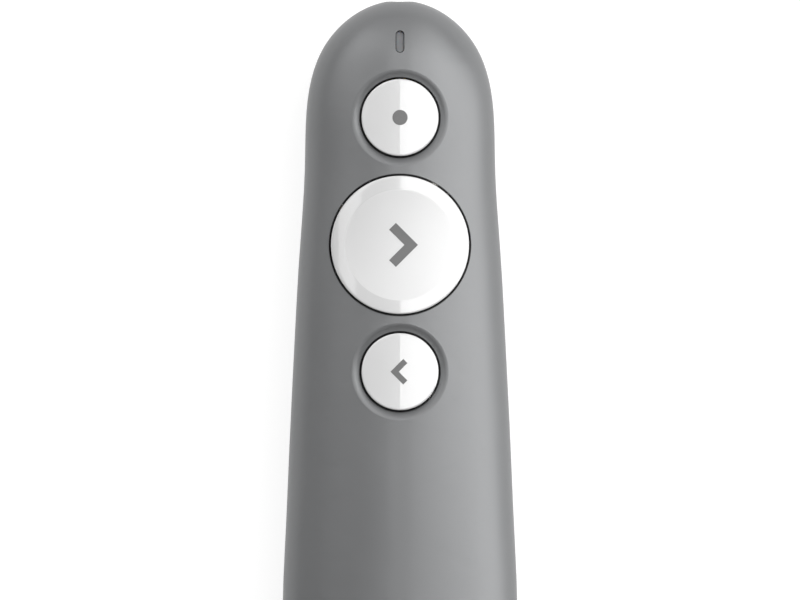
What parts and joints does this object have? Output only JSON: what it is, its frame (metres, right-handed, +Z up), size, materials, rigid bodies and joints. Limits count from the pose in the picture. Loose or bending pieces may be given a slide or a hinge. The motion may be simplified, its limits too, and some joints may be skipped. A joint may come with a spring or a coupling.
{
  "type": "wireless presentation clicker",
  "caption": "Slim hand-held presentation clicker: crowned soft-touch housing, round push buttons, laser nose, sliding battery door and a USB receiver stowed in the tail.",
  "frame": {"origin": "centre of the bounding box in X and Y, on the surface that the clicker's back lies on", "axes": "+X across the body to the right, +Y along the body towards the laser nose, +Z up through the button face"},
  "size_m": [0.0378, 0.124, 0.0216],
  "materials": {
    "soft_touch_grey": "soft-touch coated ABS",
    "cap_white": "satin-gloss moulded ABS",
    "carrier_black": "moulded POM",
    "switch_plastic": "moulded nylon",
    "plunger_plastic": "moulded nylon",
    "board_green": "solder-masked glass epoxy",
    "chip_black": "moulded epoxy",
    "ceramic": "fired ceramic",
    "plated_steel": "nickel plated",
    "led_resin": "clear-topped resin",
    "guide_clear": "smoke-tinted acrylic",
    "window_clear": "polished acrylic",
    "lens_glass": "polished",
    "turned_brass": "turned",
    "cell_jacket": "printed film over steel",
    "wire_red": "PVC insulation",
    "wire_black": "PVC insulation",
    "grip_grey": "moulded ABS",
    "tongue_white": "moulded LCP",
    "gold_contact": "gold plated"
  },
  "bodies": {
    "housing": {"top_cover": "soft_touch_grey", "bottom_cover": "soft_touch_grey", "main_board": "board_green", "mcu_chip": "chip_black", "crystal": "plated_steel", "antenna_chip": "ceramic", "board_passives": "ceramic", "indicator_led": "led_resin", "light_guide": "guide_clear", "laser_window": "window_clear", "laser_barrel": "turned_brass", "laser_lens": "lens_glass", "lens_ring": "turned_brass", "laser_diode": "plated_steel", "laser_board": "board_green", "laser_wire_red": "wire_red", "laser_wire_black": "wire_black", "battery": "cell_jacket", "positive_contact": "plated_steel", "negative_contact": "plated_steel", "negative_spring": "plated_steel", "negative_lead": "wire_black", "board_screws": "plated_steel", "housing_screws": "plated_steel", "laser_switch": "switch_plastic", "next_switch": "switch_plastic", "back_switch": "switch_plastic"},
    "laser_button": {"laser_button_cap": "cap_white", "laser_button_carrier": "carrier_black", "laser_switch_plunger": "plunger_plastic"},
    "next_button": {"next_button_cap": "cap_white", "next_button_carrier": "carrier_black", "next_switch_plunger": "plunger_plastic"},
    "back_button": {"back_button_cap": "cap_white", "back_button_carrier": "carrier_black", "back_switch_plunger": "plunger_plastic"},
    "battery_door": {"battery_door": "soft_touch_grey"},
    "receiver": {"receiver_grip": "grip_grey", "usb_shell": "plated_steel", "usb_tongue": "tongue_white", "usb_contacts": "gold_contact", "receiver_board": "board_green"}
  },
  "joints": [
    {"name": "laser_press", "type": "slide", "parent": "housing", "child": "laser_button", "axis": [0, 0, -1], "range_m": [0, 0.0003], "stiffness_N_per_m": 2500},
    {"name": "next_press", "type": "slide", "parent": "housing", "child": "next_button", "axis": [0, 0, -1], "range_m": [0, 0.0003], "stiffness_N_per_m": 2500},
    {"name": "back_press", "type": "slide", "parent": "housing", "child": "back_button", "axis": [0, 0, -1], "range_m": [0, 0.0003], "stiffness_N_per_m": 2500},
    {"name": "door_slide", "type": "slide", "parent": "housing", "child": "battery_door", "axis": [0, -1, 0], "range_m": [0, 0.045]},
    {"name": "receiver_slide", "type": "slide", "parent": "housing", "child": "receiver", "axis": [0, -1, 0], "range_m": [0, 0.018]}
  ]
}
